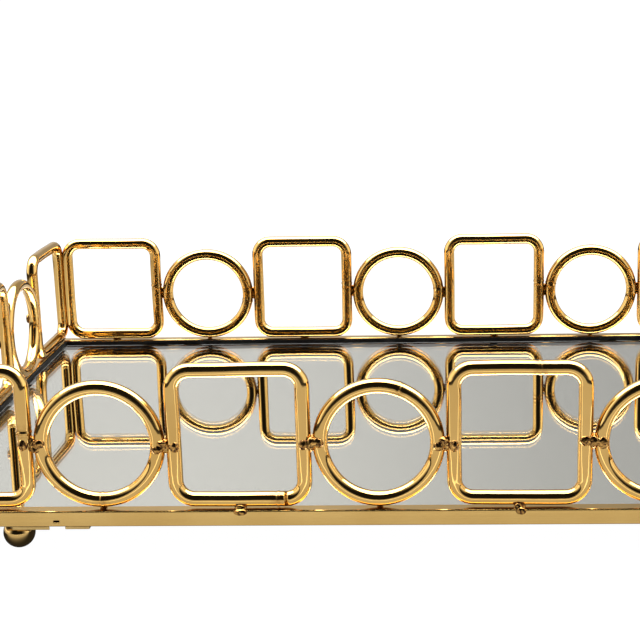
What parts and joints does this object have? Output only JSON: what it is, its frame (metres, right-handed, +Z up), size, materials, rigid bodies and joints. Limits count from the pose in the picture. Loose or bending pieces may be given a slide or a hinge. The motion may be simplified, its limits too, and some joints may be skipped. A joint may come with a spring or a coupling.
{
  "type": "vanity tray",
  "caption": "Rectangular mirror-floored vanity tray in gold-plated metal, fenced by alternating rounded-square and round wire links, on ball feet.",
  "frame": {"origin": "on the surface that the tray stands on, under the middle of the tray", "axes": "+Z up; +X along the long side, to the viewer's right; +Y towards the back"},
  "size_m": [0.3078, 0.2136, 0.0613],
  "materials": {
    "gold_wire": "polished",
    "gold_tube": "gloss",
    "gold_strip": "satin",
    "gold_ball": "polished",
    "mirror": "polished",
    "felt": "matte",
    "screw_steel": "satin"
  },
  "bodies": {
    "root": {"link_square_front_1": "gold_wire", "link_round_front_1": "gold_wire", "link_square_front_2": "gold_wire", "link_round_front_2": "gold_wire", "link_square_front_3": "gold_wire", "link_round_front_3": "gold_wire", "link_square_front_4": "gold_wire", "link_square_back_1": "gold_wire", "link_round_back_1": "gold_wire", "link_square_back_2": "gold_wire", "link_round_back_2": "gold_wire", "link_square_back_3": "gold_wire", "link_round_back_3": "gold_wire", "link_square_back_4": "gold_wire", "link_square_left_1": "gold_wire", "link_round_left_1": "gold_wire", "link_square_left_2": "gold_wire", "link_round_left_2": "gold_wire", "link_square_left_3": "gold_wire", "link_square_right_1": "gold_wire", "link_round_right_1": "gold_wire", "link_square_right_2": "gold_wire", "link_round_right_2": "gold_wire", "link_square_right_3": "gold_wire", "rail_front": "gold_tube", "rail_back": "gold_tube", "rail_left": "gold_tube", "rail_right": "gold_tube", "mirror_plate": "mirror", "felt_pad": "felt", "corner_brace_front_left": "gold_strip", "ball_foot_front_left": "gold_ball", "foot_screw_front_left": "screw_steel", "mirror_tab_front_left": "gold_strip", "corner_brace_front_right": "gold_strip", "ball_foot_front_right": "gold_ball", "foot_screw_front_right": "screw_steel", "mirror_tab_front_right": "gold_strip", "corner_brace_back_left": "gold_strip", "ball_foot_back_left": "gold_ball", "foot_screw_back_left": "screw_steel", "mirror_tab_back_left": "gold_strip", "corner_brace_back_right": "gold_strip", "ball_foot_back_right": "gold_ball", "foot_screw_back_right": "screw_steel", "mirror_tab_back_right": "gold_strip"}
  },
  "joints": []
}
